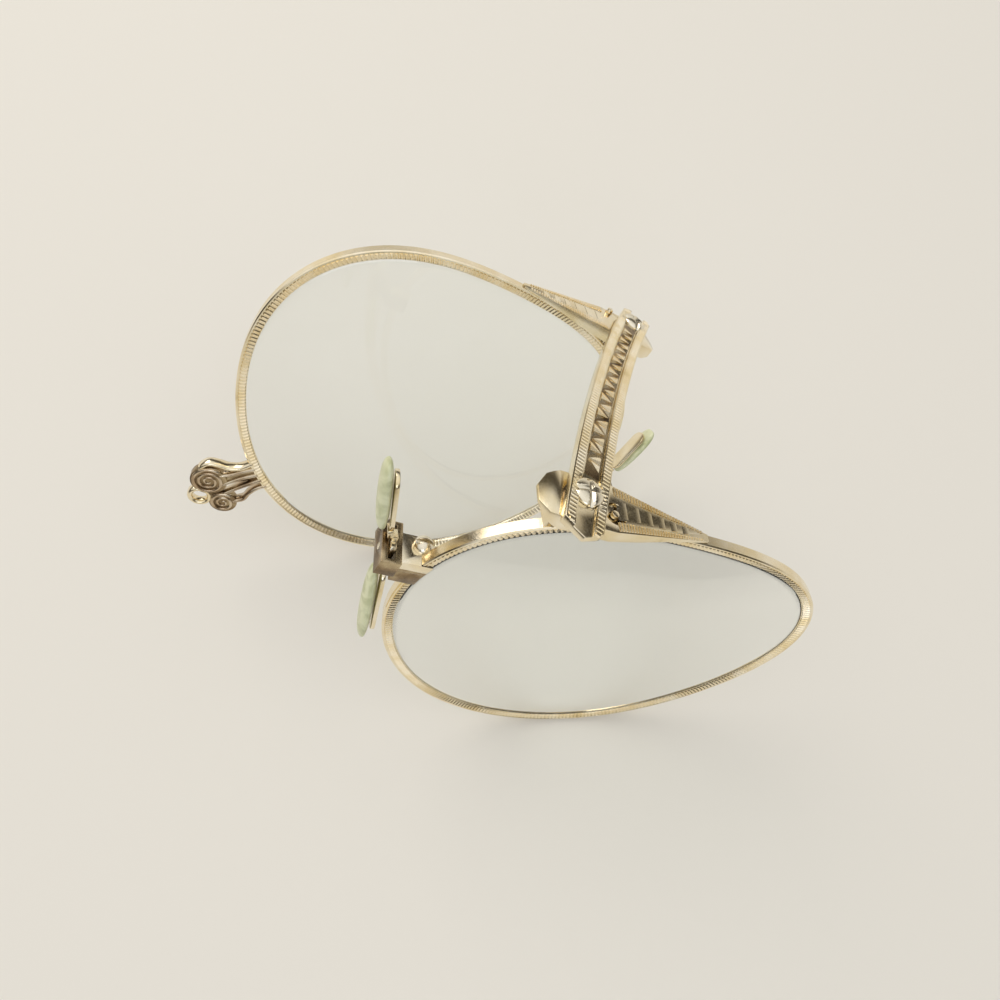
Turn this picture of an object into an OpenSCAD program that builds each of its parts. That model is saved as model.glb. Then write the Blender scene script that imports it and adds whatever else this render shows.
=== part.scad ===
// Folding spring pince-nez: two rimmed lenses that swing on a sprung bar.
// Lengths are in millimetres and angles in degrees.
// The bar frame has +X to the wearer's left, +Y to the back and +Z up as worn.
// A lens unit is drawn with X to the temple, Y to the back and Z up, from its pivot.

/* [Bridge] */
// Distance between the two pivots
pivot_spacing = 28.5; // [27:0.5:32]
// Width of the bar, front to back
bar_width = 3.2; // [3.0:0.1:3.6]
// Thickness of the bar
bar_thick = 0.8; // [0.7:0.05:1]
// Radius of the bar's upward arch
bar_arch_r = 163.5; // [140:0.5:300]
// Radius of the bar's forward bow
bar_bow_r = 120; // [90:1:300]
// Width of each raised rail
rail_width = 0.85; // [0.6:0.05:1]
// Depth of the engraved middle below the rails
rail_height = 0.25; // [0.1:0.05:0.35]
// Length of the bar beyond the right pivot
right_end = 2.1; // [1.9:0.1:2.2]
// Length of the bar beyond the left pivot
left_end = 4.0; // [2.1:0.1:5]

/* [Fold] */
// Turn of both lens units from wide open, as they lie at rest
rest_fold = 112; // [0:1:170]

/* [Pivot] */
// Diameter of the screw's shank
shank_d = 1.5; // [1.2:0.1:1.6]
// Diameter of the screw's head
head_d = 2.6; // [2.2:0.1:2.8]
// Height of the head's dome
head_dome = 0.45; // [0.3:0.05:0.7]
// Depth of the head's seat in the bar
head_seat = 0.35; // [0.2:0.05:0.4]
// Radial clearance of the shank in the bar
pivot_fit = 0.04; // [0.02:0.01:0.08]
// Diameter of the washer under the bar
washer_d = 3.2; // [2.6:0.1:3.8]
// Thickness of the washer
washer_thick = 0.25; // [0.2:0.05:0.4]
// Gap between the washer and the bar
washer_gap = 0.05; // [0.03:0.01:0.1]

/* [Lens and rim] */
// Mean radius of the lens opening
lens_r = 19.3; // [18.5:0.1:20]
// Lens centre from the pivot, towards the temple
lens_out = 12.9; // [12.5:0.1:14]
// Mean top of the lens opening below the pivot
rim_below = 1.2; // [1.0:0.1:2.7]
// Thickness of the lens
lens_thick = 1.4; // [1:0.1:2]
// Radial width of the rim
rim_width = 1.0; // [0.9:0.05:1.2]
// Thickness of the rim, front to back
rim_depth = 1.1; // [1:0.05:1.5]
// Depth of the groove inside the rim
groove_deep = 0.4; // [0.2:0.05:0.5]
// Width of the groove inside the rim
groove_wide = 0.5; // [0.3:0.05:0.7]
// Clearance of the lens in the rim
lens_fit = 0.05; // [0.02:0.01:0.1]

/* [End piece] */
// Width of the end piece at the pivot
end_width = 4.4; // [4.3:0.1:5]
// Width of the end piece at its tip
end_tip_width = 0.7; // [0.5:0.1:1]
// Reach of the end piece along the rim
end_reach = 12.2; // [11:0.1:12.8]
// Reach of the pointed end towards the nose
end_point = 3.4; // [3.2:0.1:4.2]
// Thickness of the end piece at the pivot
end_thick = 1.3; // [1:0.1:1.5]
// Thickness of the web between the end piece and the rim
web_thick = 0.8; // [0.5:0.1:1.1]
// Diameter of each stud
stud_d = 0.8; // [0.6:0.05:0.9]

/* [Guards] */
// Place of the right guard round its rim, from the temple
right_guard_angle = 177; // [168:1:190]
// Place of the left guard round its rim, from the temple
left_guard_angle = 160; // [156:1:176]
// Rock of the right guard at rest, upper pad to the back
right_rock = 16; // [-20:1:20]
// Rock of the left guard at rest, upper pad to the back
left_rock = 16; // [-20:1:20]
// Width of the box along the lens
box_wide = 1.7; // [1.5:0.1:2]
// Length of the box, front to back
box_long = 4.0; // [3.8:0.1:4.5]
// Height of the box
box_high = 2.0; // [1.8:0.1:2.4]
// Thickness of the rocking leaf
leaf_thick = 0.5; // [0.4:0.05:0.6]
// Clearance of the leaf on each side in the box
leaf_gap = 0.08; // [0.05:0.01:0.12]
// Diameter of the pin that the leaf rocks on
guard_pin_d = 0.7; // [0.5:0.05:0.8]
// Radial clearance of the leaf on its pin
guard_pin_fit = 0.04; // [0.02:0.01:0.08]
// Length of the upper pad
upper_pad_long = 6.5; // [5:0.1:7]
// Length of the lower pad
lower_pad_long = 8.3; // [7:0.1:9]
// Width of the pads, front to back
pad_wide = 2.8; // [2.4:0.1:3.2]
// Thickness of the pads
pad_thick = 1.0; // [0.8:0.1:1.4]
// Thickness of the metal mount behind each pad
mount_thick = 0.35; // [0.3:0.05:0.5]

/* [Closing block] */
// Gap in the rim, closed by the screw
split_gap = 0.4; // [0.3:0.05:0.5]
// Height of the upper block
upper_block = 1.0; // [0.8:0.1:1.4]
// Height of the lower block
lower_block = 1.6; // [1.3:0.1:2.2]
// Diameter of the closing screw's shank
closing_d = 1.0; // [0.8:0.1:1.1]
// Diameter of the closing screw's head
closing_head_d = 1.8; // [1.6:0.1:2]

/* [Handle] */
// Thickness of the handle
handle_thick = 1.3; // [1:0.1:1.6]
// Diameter of the eye for a cord
eye_d = 1.3; // [1:0.1:1.6]

/* [Hidden] */
$fn = 48;
// Pose of the whole part as it lies on a flat surface
rest_turn = 26.45;
rest_tilt = -37.04;
rest_shift = [-12.239, 0, 34.702];
// Shape of the lens outline, as shares of its mean radius
oval = [0.0207, -0.0104];
egg = [-0.0104, 0.0466];
squareness = -0.0104;
outline_step = 5;
lens_drop = lens_r + rim_below;
// Small gaps between pieces that are soldered or seated together
seat = 0.02;
cut = 20;
// Heights along the pivot, from the top of the bar
bar_under = -bar_thick;
washer_top = bar_under - washer_gap;
end_top = washer_top - washer_thick;
end_under = end_top - end_thick;
pivot_lean = asin(pivot_spacing / 2 / bar_arch_r);
bow_depth = sqrt(bar_bow_r * bar_bow_r - pivot_spacing * pivot_spacing / 4);
arch_depth = bar_arch_r * cos(pivot_lean);
head_slot = 0.3;
shank_below = 0.2;
end_chamfer = 0.8;
web_deep = 5.5;
// The right stud stands at the back edge and the left one lies in a pocket
right_stud = [2.0, 1.8];
right_stud_top = bar_under + 0.3;
left_stud = [2.9, -0.5];
left_stud_top = bar_under - 0.15;
stud_deep = 0.6;
pocket_r = 1.0;
pocket_deep = 0.35;
// The guard's origin is the rim's outer edge at the guard's angle
block_wide = 1.85;
block_inside = 1.0;
block_front = -0.6;
block_back = 2.2;
split_drop = 1.5;
bracket_thick = split_gap;
closing_back = 1.35;
closing_clear = 0.05;
closing_head_high = 0.9;
closing_slot = 0.35;
closing_slot_deep = 0.5;
box_in = [-block_wide - box_wide / 2, 1.0, -1.1];
box_wall = 0.35;
leaf_half = 1.15;
leaf_arm = 1.1;
leaf_neck = 1.65;
leaf_arm_start = 1.45;
pad_lean_up = 15;
pad_lean_down = 11;
upper_pad_start = 2.2;
lower_pad_start = 1.9;
// Handle: middles and radii of its rounds, from its place on the rim's outer edge
handle_angle = -40;
big_scroll = [2.47, -4.14];
big_scroll_r = 2.7;
small_scroll = [0.92, -6.89];
small_scroll_r = 1.9;
eye_at = [3.47, -6.79];
eye_wall = 0.75;
handle_root = [[-2.88, 0.81], [1.32, -1.29], [3.22, -4.59], [1.22, -7.09], [-1.38, -6.59], [-3.08, -1.99]];
window_high = [[0.72, -2.19], [1.72, -1.89], [1.42, -2.79]];
window_low = [[-0.98, -4.59], [-0.18, -4.89], [-0.58, -5.69]];
metal = "#d9cfae";
screw_metal = "#cfcabb";
dark_metal = "#8d8269";
pearl = "#dde3c4";
clear = [0.8, 0.88, 0.95, 0.35];

// Radius of the lens opening at an angle from the temple
function opening(a) = lens_r * (1 + oval[0] * cos(2 * a) + oval[1] * sin(2 * a)
    + egg[0] * cos(3 * a) + egg[1] * sin(3 * a) + squareness * cos(4 * a));

// Point of the outline, grown outwards by a margin
function outline_point(a, grow) = [
    lens_out + (opening(a) + grow) * cos(a),
    -lens_drop + (opening(a) + grow) * sin(a)
];

// Puts the bar frame into the pose in which the part lies
module lying() {
    translate(rest_shift) rotate([0, rest_tilt, 0]) rotate([0, 0, rest_turn]) children();
}

// Puts one pivot's frame, with its lean, into the bar frame
module at_pivot(side) {
    way = side == "left" ? 1 : -1;
    translate([way * pivot_spacing / 2, 0, 0]) rotate([0, way * pivot_lean, 0]) children();
}

// Puts a lens unit on its pivot, folded as at rest
module unit(side) {
    lying() at_pivot(side) rotate([0, 0, rest_fold])
        mirror([side == "right" ? 1 : 0, 0, 0]) children();
}

// Stands a flat shape in the lens plane, centred on it from front to back
module in_lens_plane(depth, back = 0) {
    translate([0, back + depth / 2, 0]) rotate([90, 0, 0]) linear_extrude(depth) children();
}

module outline(grow) {
    polygon([for (a = [0:outline_step:360 - outline_step]) outline_point(a, grow)]);
}

// Everything inside the rim's outer edge, which soldered pieces stop short of
module rim_space() {
    in_lens_plane(rim_depth + 2 * seat) outline(rim_width + seat);
}

// Puts a guard's frame at the rim's outer edge
module at_guard(angle) {
    spot = outline_point(angle, rim_width);
    translate([spot[0], 0, spot[1]]) children();
}

// Puts the rocking pieces' frame on the guard pin
module at_rocker(angle, rock) {
    at_guard(angle) translate(box_in) rotate([-rock, 0, 0]) children();
}

module screw_cross(width, deep, top) {
    for (turn = [0, 90])
        rotate([0, 0, turn]) translate([-cut / 2, -width / 2, top - deep]) cube([cut, width, deep + 1]);
}

// A round dome with the given rim diameter and height, standing on z = 0
module dome(d, high) {
    ball_r = (d * d / 4 + high * high) / (2 * high);
    intersection() {
        translate([0, 0, high - ball_r]) sphere(ball_r, $fn = 64);
        cylinder(d = d, h = high + 1);
    }
}

// Band of the bar seen from above, bowed forwards, between two distances from its middle line
module bow_band(inner, outer) {
    translate([0, bow_depth, 0]) difference() {
        circle(bar_bow_r - inner, $fn = 360);
        circle(bar_bow_r - outer, $fn = 360);
    }
}

// Ends of the bar seen from above: chamfered at the right, pointed at the left
module bar_plan() {
    half = bar_width / 2;
    right_x = -pivot_spacing / 2 - right_end;
    left_x = pivot_spacing / 2 + left_end;
    polygon([
        [right_x, -half + end_chamfer], [right_x + end_chamfer, -half - 0.2], [0, -cut],
        [left_x - end_chamfer, -half - 0.2], [left_x, half / 2],
        [left_x - end_chamfer, half + 0.2], [0, cut],
        [right_x + end_chamfer, half + 0.2], [right_x, half - end_chamfer]
    ]);
}

// Arched sheet between two radii, as wide as the cut
module arch_sheet(outer, inner) {
    translate([0, cut / 2, -arch_depth]) rotate([90, 0, 0]) linear_extrude(cut) difference() {
        circle(outer, $fn = 360);
        circle(inner, $fn = 360);
    }
}

module bridge_spring() {
    half = bar_width / 2;
    color(metal) lying() difference() {
        intersection() {
            arch_sheet(bar_arch_r, bar_arch_r - bar_thick);
            translate([0, 0, -cut]) linear_extrude(2 * cut) intersection() {
                bow_band(-half, half);
                bar_plan();
            }
        }
        intersection() {
            arch_sheet(bar_arch_r + 1, bar_arch_r - rail_height);
            translate([0, 0, -cut]) linear_extrude(2 * cut)
                bow_band(-half + rail_width, half - rail_width);
        }
        for (side = ["left", "right"]) at_pivot(side) {
            translate([0, 0, -cut / 2]) cylinder(d = shank_d + 2 * pivot_fit, h = cut);
            translate([0, 0, -head_seat]) cylinder(d = head_d + 2 * pivot_fit, h = cut / 2);
        }
    }
}

module pivot_screw(side) {
    color(screw_metal) unit(side) {
        translate([0, 0, end_under - shank_below])
            cylinder(d = shank_d, h = -head_seat + washer_gap - end_under + shank_below);
        translate([0, 0, -head_seat + washer_gap]) difference() {
            dome(head_d, head_dome);
            screw_cross(head_slot, head_dome / 2, head_dome);
        }
    }
}

module hinge_washer(side) {
    color(dark_metal) unit(side) translate([0, 0, end_top]) difference() {
        cylinder(d = washer_d, h = washer_thick);
        translate([0, 0, -1]) cylinder(d = shank_d + 2 * seat, h = cut);
    }
}

// Wedge plate under the bar and web down to the rim
module end_piece_body() {
    half = end_width / 2;
    tip_half = end_tip_width / 2;
    plate_side = [
        [-end_point, end_top - 0.45], [-end_point + 1.3, end_top], [2.8, end_top],
        [end_reach, end_top - 0.4], [end_reach, end_top - 0.9],
        [2.8, end_under], [-end_point + 1.3, end_under], [-end_point, end_top - 0.75]
    ];
    web_side = [
        [-end_point, end_top - 0.6], [2.8, end_top - 0.2], [end_reach, end_top - 0.5],
        [end_reach, end_top - 3], [-0.6, -rim_below - web_deep], [-1.2, end_top - 3.7]
    ];
    intersection() {
        in_lens_plane(end_width + 1) polygon(plate_side);
        translate([0, 0, -cut / 2]) linear_extrude(cut) polygon([
            [-end_point, -0.7], [-2.7, -1.75], [-1.6, -half], [2.8, -half], [end_reach, -tip_half],
            [end_reach, tip_half], [2.8, half], [-1.6, half], [-2.7, 1.75], [-end_point, 0.7]
        ]);
    }
    in_lens_plane(web_thick) polygon(web_side);
}

module end_piece(side) {
    spot = side == "left" ? left_stud : right_stud;
    bottom = (side == "left" ? left_stud_top : end_top) - stud_deep - pocket_deep;
    color(metal) unit(side) difference() {
        end_piece_body();
        in_lens_plane(cut) outline(rim_width + seat);
        translate([0, 0, -cut / 2]) cylinder(d = shank_d + 2 * seat, h = cut);
        translate([spot[0], spot[1], bottom]) cylinder(d = stud_d + 2 * seat, h = cut);
        if (side == "left")
            translate([spot[0], spot[1], end_top - pocket_deep]) cylinder(r = pocket_r, h = cut);
    }
}

module stop_stud(side) {
    spot = side == "left" ? left_stud : right_stud;
    top = side == "left" ? left_stud_top : right_stud_top;
    bottom = (side == "left" ? left_stud_top : end_top) - stud_deep - pocket_deep;
    color(dark_metal) unit(side) translate([spot[0], spot[1], bottom])
        cylinder(d = stud_d, h = top - bottom);
}

module rim(side, angle) {
    color(metal) unit(side) difference() {
        in_lens_plane(rim_depth) difference() {
            outline(rim_width);
            outline(0);
        }
        in_lens_plane(groove_wide) outline(groove_deep);
        at_guard(angle) translate([-block_wide, -rim_depth, -split_drop - split_gap / 2])
            cube([block_wide + 2 * rim_width, 2 * rim_depth, split_gap]);
    }
}

module lens(side) {
    color(clear) unit(side) {
        in_lens_plane(lens_thick) outline(-lens_fit);
        in_lens_plane(groove_wide - 2 * lens_fit) outline(groove_deep - lens_fit);
    }
}

// A block beside and behind the rim, between two heights in the guard's frame
module block_shape(angle, low, high) {
    difference() {
        at_guard(angle) translate([-block_wide, block_front, low])
            cube([block_wide + block_inside, block_back - block_front, high - low]);
        rim_space();
        in_lens_plane(lens_thick + 2 * seat) outline(0);
    }
}

module at_closing_screw(angle) {
    at_guard(angle) translate([0, closing_back, 0]) children();
}

module rim_block_upper(side, angle) {
    low = -split_drop + split_gap / 2;
    color(metal) unit(side) difference() {
        block_shape(angle, low, low + upper_block);
        at_closing_screw(angle) translate([0, 0, -cut / 2])
            cylinder(d = closing_d + 2 * closing_clear, h = cut);
    }
}

module rim_block_lower(side, angle) {
    high = -split_drop - split_gap / 2;
    color(dark_metal) unit(side) difference() {
        block_shape(angle, high - lower_block, high);
        at_closing_screw(angle) translate([0, 0, high - lower_block - 1])
            cylinder(d = closing_d + 2 * seat, h = cut);
    }
}

module rim_screw(side, angle) {
    top = -split_drop + split_gap / 2 + upper_block;
    bottom = -split_drop - split_gap / 2 - lower_block;
    color(screw_metal) unit(side) at_closing_screw(angle) {
        translate([0, 0, bottom]) cylinder(d = closing_d, h = top - bottom);
        translate([0, 0, top]) difference() {
            dome(closing_head_d, closing_head_high);
            translate([-cut / 2, -closing_slot / 2, closing_head_high - closing_slot_deep])
                cube([cut, closing_slot, cut]);
        }
    }
}

// Foot of the guard, clamped between the two blocks
module guard_bracket(side, angle) {
    low = -split_drop - bracket_thick / 2 + seat / 2;
    color(dark_metal) unit(side) difference() {
        block_shape(angle, low, low + bracket_thick - seat);
        at_closing_screw(angle) translate([0, 0, -cut / 2])
            cylinder(d = closing_d + 2 * closing_clear, h = cut);
    }
}

module guard_box(side, angle) {
    slot_wide = leaf_thick + 2 * leaf_gap;
    slot_long = box_long - 2 * box_wall;
    color(metal) unit(side) at_guard(angle) translate(box_in) difference() {
        cube([box_wide, box_long, box_high], center = true);
        cube([slot_wide, slot_long, cut], center = true);
        translate([-cut / 2, 0, 0]) rotate([0, 90, 0]) cylinder(d = guard_pin_d + 2 * seat, h = cut);
    }
}

module guard_pin(side, angle) {
    color(screw_metal) unit(side) at_guard(angle) translate(box_in) translate([-box_wide / 2, 0, 0])
        rotate([0, 90, 0]) cylinder(d = guard_pin_d, h = box_wide);
}

// The leaf's arm to a pad, leaning from the pin's frame, between two distances
module leaning(lean, down, start, end) {
    rotate([0, -lean, 0]) translate([-leaf_thick / 2, -leaf_arm / 2, down ? -end : start])
        cube([leaf_thick, leaf_arm, end - start]);
}

// A pad or mount plate with round ends, seen from the nose
module pad_shape(lean, down, start, long, wide, thick, offset) {
    middle = start + long / 2;
    flip = down ? -1 : 1;
    rotate([0, -lean, 0]) translate([offset + thick / 2, 0, flip * middle]) rotate([0, -90, 0])
        linear_extrude(thick) {
            square([long - wide, wide], center = true);
            for (end = [-1, 1]) translate([end * (long - wide) / 2, 0]) circle(d = wide);
        }
}

module guard_leaf(side, angle, rock) {
    color(dark_metal) unit(side) at_rocker(angle, rock) difference() {
        union() {
            cube([leaf_thick, 2 * leaf_half, 2 * leaf_half], center = true);
            cube([leaf_thick, leaf_arm, 2 * leaf_neck], center = true);
            leaning(pad_lean_up, false, leaf_arm_start, upper_pad_start);
            leaning(pad_lean_down, true, leaf_arm_start, lower_pad_start);
        }
        translate([-cut / 2, 0, 0]) rotate([0, 90, 0])
            cylinder(d = guard_pin_d + 2 * guard_pin_fit, h = cut);
    }
}

module upper_pad_mount(side, angle, rock) {
    color(dark_metal) unit(side) at_rocker(angle, rock)
        pad_shape(pad_lean_up, false, upper_pad_start + seat, upper_pad_long - 1, pad_wide - 0.8,
            mount_thick, 0);
}

module upper_pad(side, angle, rock) {
    color(pearl) unit(side) at_rocker(angle, rock)
        pad_shape(pad_lean_up, false, upper_pad_start + seat, upper_pad_long, pad_wide,
            pad_thick, -(mount_thick + pad_thick) / 2 - seat);
}

module lower_pad_mount(side, angle, rock) {
    color(dark_metal) unit(side) at_rocker(angle, rock)
        pad_shape(pad_lean_down, true, lower_pad_start + seat, lower_pad_long - 1, pad_wide - 0.8,
            mount_thick, 0);
}

module lower_pad(side, angle, rock) {
    color(pearl) unit(side) at_rocker(angle, rock)
        pad_shape(pad_lean_down, true, lower_pad_start + seat, lower_pad_long, pad_wide,
            pad_thick, -(mount_thick + pad_thick) / 2 - seat);
}

// Moves the handle's flat shapes to its place on the rim's outer edge
module at_handle() {
    translate(outline_point(handle_angle, rim_width)) children();
}

module handle() {
    color(dark_metal) unit("right") difference() {
        in_lens_plane(handle_thick) at_handle() difference() {
            union() {
                polygon(handle_root);
                translate(big_scroll) circle(big_scroll_r);
                translate(small_scroll) circle(small_scroll_r);
                translate(eye_at) circle(d = eye_d + 2 * eye_wall);
            }
            polygon(window_high);
            polygon(window_low);
            translate(eye_at) circle(d = eye_d);
        }
        in_lens_plane(cut) outline(rim_width + seat);
    }
}

bridge_spring();
pivot_screw("right");  // right_pivot_screw
hinge_washer("right");  // right_hinge_washer
end_piece("right");  // right_end_piece
stop_stud("right");  // right_stop_stud
rim("right", right_guard_angle);  // right_rim
lens("right");  // right_lens
rim_block_upper("right", right_guard_angle);  // right_rim_block_upper
rim_block_lower("right", right_guard_angle);  // right_rim_block_lower
rim_screw("right", right_guard_angle);  // right_rim_screw
guard_bracket("right", right_guard_angle);  // right_guard_bracket
guard_box("right", right_guard_angle);  // right_guard_box
guard_pin("right", right_guard_angle);  // right_guard_pin
guard_leaf("right", right_guard_angle, right_rock);  // right_guard_leaf
upper_pad_mount("right", right_guard_angle, right_rock);  // right_upper_pad_mount
upper_pad("right", right_guard_angle, right_rock);  // right_upper_pad
lower_pad_mount("right", right_guard_angle, right_rock);  // right_lower_pad_mount
lower_pad("right", right_guard_angle, right_rock);  // right_lower_pad
handle();
pivot_screw("left");  // left_pivot_screw
hinge_washer("left");  // left_hinge_washer
end_piece("left");  // left_end_piece
stop_stud("left");  // left_stop_stud
rim("left", left_guard_angle);  // left_rim
lens("left");  // left_lens
rim_block_upper("left", left_guard_angle);  // left_rim_block_upper
rim_block_lower("left", left_guard_angle);  // left_rim_block_lower
rim_screw("left", left_guard_angle);  // left_rim_screw
guard_bracket("left", left_guard_angle);  // left_guard_bracket
guard_box("left", left_guard_angle);  // left_guard_box
guard_pin("left", left_guard_angle);  // left_guard_pin
guard_leaf("left", left_guard_angle, left_rock);  // left_guard_leaf
upper_pad_mount("left", left_guard_angle, left_rock);  // left_upper_pad_mount
upper_pad("left", left_guard_angle, left_rock);  // left_upper_pad
lower_pad_mount("left", left_guard_angle, left_rock);  // left_lower_pad_mount
lower_pad("left", left_guard_angle, left_rock);  // left_lower_pad
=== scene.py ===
import logging
import math
from dataclasses import dataclass
from enum import Enum
from typing import Callable, Sequence

import bpy
from mathutils import Matrix, Vector


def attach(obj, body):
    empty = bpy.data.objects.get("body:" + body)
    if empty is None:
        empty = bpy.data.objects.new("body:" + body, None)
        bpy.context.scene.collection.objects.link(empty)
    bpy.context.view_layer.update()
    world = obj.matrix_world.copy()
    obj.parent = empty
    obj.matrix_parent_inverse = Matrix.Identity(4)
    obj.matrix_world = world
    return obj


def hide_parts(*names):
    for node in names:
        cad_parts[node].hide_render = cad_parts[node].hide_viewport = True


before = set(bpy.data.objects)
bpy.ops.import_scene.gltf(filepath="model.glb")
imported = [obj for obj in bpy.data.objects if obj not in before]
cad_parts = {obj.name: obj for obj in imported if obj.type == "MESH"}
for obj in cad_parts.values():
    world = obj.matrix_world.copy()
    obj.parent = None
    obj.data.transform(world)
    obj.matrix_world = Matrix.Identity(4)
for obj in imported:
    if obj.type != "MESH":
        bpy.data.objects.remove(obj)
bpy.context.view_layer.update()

LOG = logging.getLogger("pince_nez")
MM = 0.001
Place = Callable[[float, float, float], Vector]
Path = tuple[tuple[float, float], ...]


class Side(Enum):
    """Which lens unit of the wearer a piece belongs to."""

    RIGHT = "right"
    LEFT = "left"

    @property
    def way(self) -> int:
        """Direction of the unit along the bar: -1 for the right, 1 for the left."""
        return 1 if self is Side.LEFT else -1


class Face(Enum):
    """Front or back of a flat part, with its direction across the part."""

    FRONT = -1
    BACK = 1

    @property
    def label(self) -> str:
        """Word for the face in the name of a piece."""
        return self.name.lower()


class Slot(Enum):
    """The record's material slots."""

    GOLD = "pale_gold_metal"
    SCREW = "pale_screw_metal"
    GLASS = "clear_glass"
    SHELL = "pale_shell"


@dataclass(frozen=True)
class Layout:
    """Sizes shared with the construction, in millimetres and degrees.

    The oval, egg and square shares give the outline of the lens opening, as shares of its
    mean radius that swing two, three and four times round it.
    """

    rest_turn: float = 26.45
    rest_tilt: float = -37.04
    rest_shift: tuple[float, float, float] = (-12.239, 0.0, 34.702)
    rest_fold: float = 112.0
    pivot_spacing: float = 28.5
    arch_r: float = 163.5
    bow_r: float = 120.0
    lens_r: float = 19.3
    lens_out: float = 12.9
    lens_drop: float = 20.5
    oval: tuple[float, float] = (0.0207, -0.0104)
    egg: tuple[float, float] = (-0.0104, 0.0466)
    square: float = -0.0104

    @property
    def pivot_lean(self) -> float:
        """Lean of each pivot, from the arch of the bar, in degrees."""
        return math.degrees(math.asin(self.pivot_spacing / 2 / self.arch_r))

    def lying(self) -> Matrix:
        """Turns the bar's frame into the row's frame.

        Returns:
            The matrix, in millimetres.
        """
        tilt = Matrix.Rotation(math.radians(self.rest_tilt), 4, "Y")
        turn = Matrix.Rotation(math.radians(self.rest_turn), 4, "Z")
        return Matrix.Translation(Vector(self.rest_shift)) @ tilt @ turn

    def unit(self, side: Side) -> Matrix:
        """Turns a lens unit's frame into the row's frame.

        Args:
            side: The lens unit.

        Returns:
            The matrix, in millimetres, mirrored for the right unit.
        """
        spot = Matrix.Translation((side.way * self.pivot_spacing / 2, 0, 0))
        lean = Matrix.Rotation(math.radians(side.way * self.pivot_lean), 4, "Y")
        fold = Matrix.Rotation(math.radians(self.rest_fold), 4, "Z")
        mirror = Matrix.Scale(side.way, 4, (1, 0, 0))
        return self.lying() @ spot @ lean @ fold @ mirror

    def opening(self, angle: float) -> float:
        """Finds the radius of the lens opening.

        Args:
            angle: The direction from the temple, in degrees.

        Returns:
            The radius, in millimetres.
        """
        a = math.radians(angle)
        oval = self.oval[0] * math.cos(2 * a) + self.oval[1] * math.sin(2 * a)
        egg = self.egg[0] * math.cos(3 * a) + self.egg[1] * math.sin(3 * a)
        return self.lens_r * (1 + oval + egg + self.square * math.cos(4 * a))

    def outline(self, angle: float, grow: float) -> tuple[float, float]:
        """Finds a point of the opening's outline, grown outwards.

        Args:
            angle: The direction from the temple, in degrees.
            grow: Margin outside the opening.

        Returns:
            X and Z in the lens unit's frame.
        """
        a = math.radians(angle)
        r = self.opening(angle) + grow
        return self.lens_out + r * math.cos(a), -self.lens_drop + r * math.sin(a)

    def unit_place(self, side: Side) -> Place:
        """Function that puts a lens unit's point, in millimetres, into the row's frame."""
        matrix = self.unit(side)
        return lambda x, y, z: (matrix @ Vector((x, y, z))) * MM

    def bar_place(self) -> Place:
        """Makes the function that lays a point on the curved bar.

        Returns:
            A function of the place along, across and above the bar's top, in millimetres.
        """
        matrix = self.lying()
        bow_depth = math.sqrt(self.bow_r**2 - self.pivot_spacing**2 / 4)
        arch_depth = self.arch_r * math.cos(math.radians(self.pivot_lean))

        def place(x: float, y: float, z: float) -> Vector:
            """Point of the bar.

            Args:
                x: Place along the bar.
                y: Place across it.
                z: Height above its top.

            Returns:
                The point in the row's frame, in metres.
            """
            bow = bow_depth - math.sqrt((self.bow_r - y) ** 2 - x**2)
            arch = math.sqrt((self.arch_r + z) ** 2 - x**2) - arch_depth
            return (matrix @ Vector((x, bow, arch))) * MM

        return place


LAYOUT = Layout()


def linear(hex_colour: str) -> tuple[float, float, float, float]:
    """Turns an sRGB hex colour into Blender's linear colour.

    Args:
        hex_colour: A colour such as "#d9c9a0".

    Returns:
        The linear red, green, blue and alpha.
    """
    parts = [int(hex_colour[i:i + 2], 16) / 255 for i in (1, 3, 5)]
    flat = [p / 12.92 if p <= 0.04045 else ((p + 0.055) / 1.055) ** 2.4 for p in parts]
    return flat[0], flat[1], flat[2], 1.0


def add_node(tree: bpy.types.NodeTree, kind: str, settings: dict, links: dict) -> bpy.types.Node:
    """Adds one node with its settings and its incoming links.

    Args:
        tree: The node tree.
        kind: The node's type name.
        settings: Attribute names, or input sockets given as "in:NAME", with their values.
        links: Input socket names or numbers, with the output sockets that feed them.

    Returns:
        The new node.
    """
    node = tree.nodes.new(kind)
    for key, value in settings.items():
        if key.startswith("in:"):
            node.inputs[key[3:]].default_value = value
        else:
            setattr(node, key, value)
    for key, source in links.items():
        tree.links.new(source, node.inputs[key])
    return node


def colour_ramp(node: bpy.types.Node, stops: Sequence[tuple[float, str]]) -> None:
    """Sets the stops of a colour ramp.

    Args:
        node: The ramp's node.
        stops: Places from 0 to 1, with hex colours.
    """
    ramp = node.color_ramp
    while len(ramp.elements) < len(stops):
        ramp.elements.new(0.5)
    for element, (spot, colour) in zip(ramp.elements, stops):
        element.position = spot
        element.color = linear(colour)


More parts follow.
